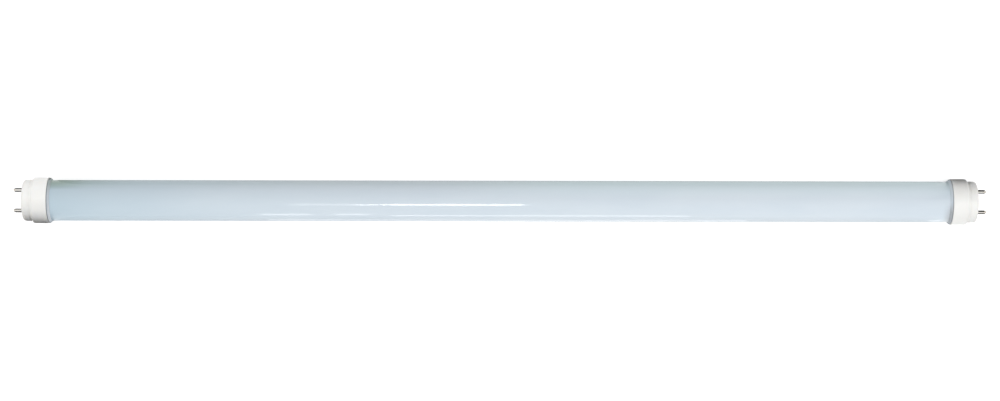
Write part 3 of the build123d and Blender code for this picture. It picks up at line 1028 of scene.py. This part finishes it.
def one_way(tree, shader):
    """Makes the card clear for light that meets its back."""
    geometry = tree.nodes.new("ShaderNodeNewGeometry")
    clear = tree.nodes.new("ShaderNodeBsdfTransparent")
    either = tree.nodes.new("ShaderNodeMixShader")
    tree.links.new(geometry.outputs["Backfacing"], either.inputs["Fac"])
    tree.links.new(shader.outputs["BSDF"], either.inputs[1])
    tree.links.new(clear.outputs["BSDF"], either.inputs[2])
    tree.links.new(either.outputs["Shader"], tree.nodes["Material Output"].inputs["Surface"])


def stage_card(name, corners, shades=False, tone=dark):
    """A sheet that only reflections see, or that also shades what stands close to it."""
    mesh = bpy.data.meshes.new(name)
    mesh.from_pydata(corners, [], [(0, 1, 2, 3)])
    card = bpy.data.objects.new(name, mesh)
    bpy.context.scene.collection.objects.link(card)
    material, tree, shader = blank(name)
    shade = mix(tree, noise(tree, place(tree), 20, 2), (tone * 0.8,) * 3, (tone * 1.2,) * 3)
    tree.links.new(shade, shader.inputs["Base Color"])
    shader.inputs["Roughness"].default_value = 1
    if shades:
        one_way(tree, shader)
    mesh.materials.append(material)
    card.visible_camera = False
    card.visible_diffuse = shades
    card.visible_shadow = False
    card.visible_transmission = False
    print(name, "tone", tone)


def level_card(name, near, far, front, back, tone=dark):
    """A card that lies just over the floor."""
    corners = [(near, front), (far, front), (far, back), (near, back)]
    stage_card(name, [(x, y, floor_level) for x, y in corners], tone=tone)


def upright_card(name, near, far, side, top):
    """A card that stands on the floor along the lamp."""
    corners = [(near, floor_level), (far, floor_level), (far, top), (near, top)]
    stage_card(name, [(x, side, z) for x, z in corners])


def cap_card(name, side, near, far, tone):
    """A card that leans away from a cap, with its front towards it."""
    foot = (side * card_foot, floor_level)
    edge = (side * card_top, card_height)
    corners = [(near, *foot), (far, *foot), (far, *edge), (near, *edge)]
    stage_card(name, corners, shades=True, tone=tone)


level_card("left_low_card", -pin_cards_end, -under_pins, -beside_pins, beside_pins)
level_card("right_low_card", under_pins, pin_cards_end, -beside_pins, beside_pins)
upright_card("left_front_card", -pin_cards_end, -0.288, -beside_pins, 0.05)
upright_card("left_back_card", -pin_cards_end, -0.3, beside_pins, 0.04)
upright_card("right_back_card", 0.288, pin_cards_end, beside_pins, 0.2)
upright_card("right_front_card", 0.3, pin_cards_end, -beside_pins, 0.03)
level_card("tube_back_card", -mouth, mouth, beside_tube, sheet_edge, tone=0.65)
level_card("tube_front_card", -mouth, mouth, -sheet_edge, -beside_tube, tone=0.75)
cap_card("left_cap_card", -1, -mouth, -0.298, 0.3)
cap_card("right_cap_card", 1, mouth, 0.293, 0.2)

# %% [markdown]
# The streaks. Each is given as it shows in the picture: from which column to which, on which row, how
# thick and how bright. The function turns this into a lamp, reach metres away from the glass. Low on
# the front of the tube the glass mirrors directions that run down to the floor, so the lamps of the
# lines there stand close by, just over it. A rough cap spreads what it mirrors, so the sheens of the
# caps need lamps far longer than the caps.

# %% Streak lamps
tube_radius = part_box("glass_tube")[1].z
middle_column = picture_width / 2
middle_row = 200.8  # of the lamp's axis


def axis_row(column):
    """Row of the lamp's axis in the picture, which sinks a little to the right."""
    return middle_row + (column - middle_column) * camera_roll


def streak(name, from_column, to_column, row, thickness, brightness, reach=1.5):
    """A lamp whose mirror image on the glass is a streak between two columns of the picture."""
    tilt = math.asin((row - axis_row((from_column + to_column) / 2)) * pixel / tube_radius)
    away = 2 * tilt
    farther = 1 + reach / camera_height
    start = (from_column - middle_column) * pixel * farther
    stop = (to_column - middle_column) * pixel * farther
    span = 2 * (thickness * pixel / tube_radius / math.cos(tilt)) * reach
    glass = ((start + stop) / 2, -tube_radius * math.sin(tilt), tube_radius * math.cos(tilt))
    spot = (glass[0], glass[1] - reach * math.sin(away), glass[2] + reach * math.cos(away))
    watts = brightness * math.pi * (stop - start) * span
    lamp = soft_box(name, spot, glass, stop - start, span, watts, mirrored=True)
    lamp.visible_diffuse = False
    print(name, [round(v, 2) for v in spot], round(stop - start, 2), "by", round(span, 2), "m")
    return lamp


streak("long_streak", 384, 524, 204.5, 1.7, 9)
streak("long_streak_taper", 357, 385, 204.5, 1.0, 8)
streak("long_streak_start", 290, 358, 204.2, 2.0, 2.0)
streak("low_streak_left", 262, 312, 214.0, 1.5, 3.4)
streak("low_streak_right", 335, 370, 214.0, 1.5, 3.4)
streak("low_line", 392, 690, 215.4, 1.2, 3.0, reach=0.3)
streak("edge_line", 270, 745, 219.9, 0.9, 1.0, reach=0.02)
streak("edge_spark", 928, 939, 220.4, 0.9, 2.5, reach=0.02)
for name, from_column, to_column, row in (("left", -400, 450, 198), ("right", 550, 1400, 203.5)):
    sheen = streak(name + "_cap_sheen", from_column, to_column, row, 1.5, 5)
    linked(sheen, [name + "_end_cap"], "INCLUDE")
